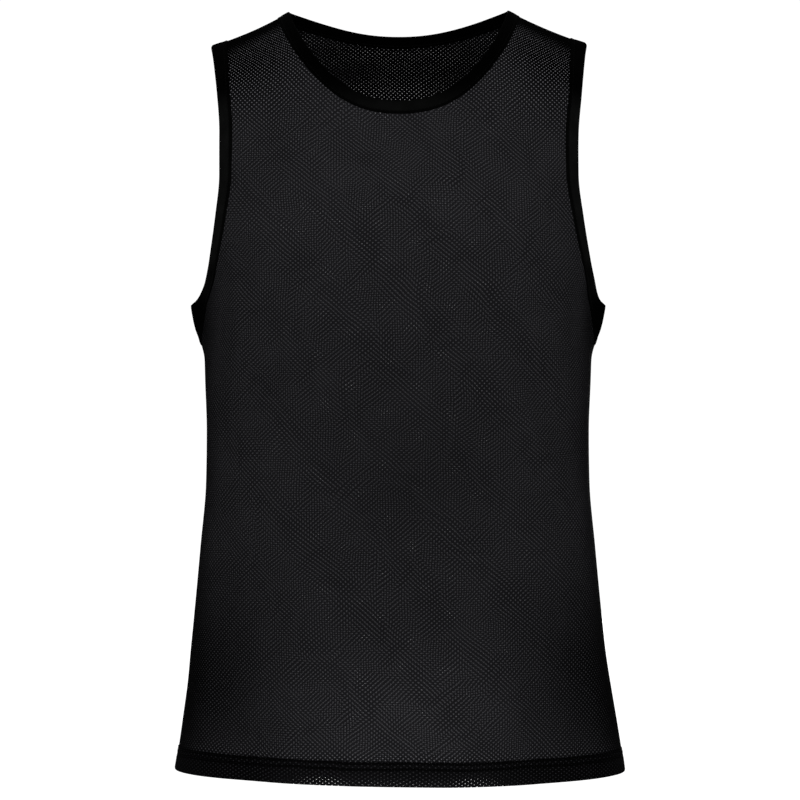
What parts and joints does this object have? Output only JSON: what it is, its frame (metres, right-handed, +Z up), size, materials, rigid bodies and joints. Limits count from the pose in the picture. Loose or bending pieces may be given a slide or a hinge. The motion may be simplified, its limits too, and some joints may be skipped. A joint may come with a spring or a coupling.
{
  "type": "training bib",
  "caption": "Sleeveless black mesh training bib, filled out as if worn, with bound scoop neck, bound deep armholes and a twin-stitched hem.",
  "frame": {"origin": "midway between the two shoulder seams, halfway along them, where the wearer's shoulders carry the bib", "axes": "+Z up, -Y towards the bib's front, +X towards the wearer's left"},
  "size_m": [0.428, 0.2469, 0.7203],
  "materials": {
    "mesh_cloth": "matt black polyester hole-knit mesh",
    "hem_cloth": "the same mesh, doubled and stitched",
    "tape": "smooth matt black knit tape"
  },
  "bodies": {
    "root": {"front_panel": "mesh_cloth", "back_panel": "mesh_cloth", "front_hem": "hem_cloth", "back_hem": "hem_cloth", "neck_binding": "tape", "armhole_binding_left": "tape", "armhole_binding_right": "tape"}
  },
  "joints": []
}
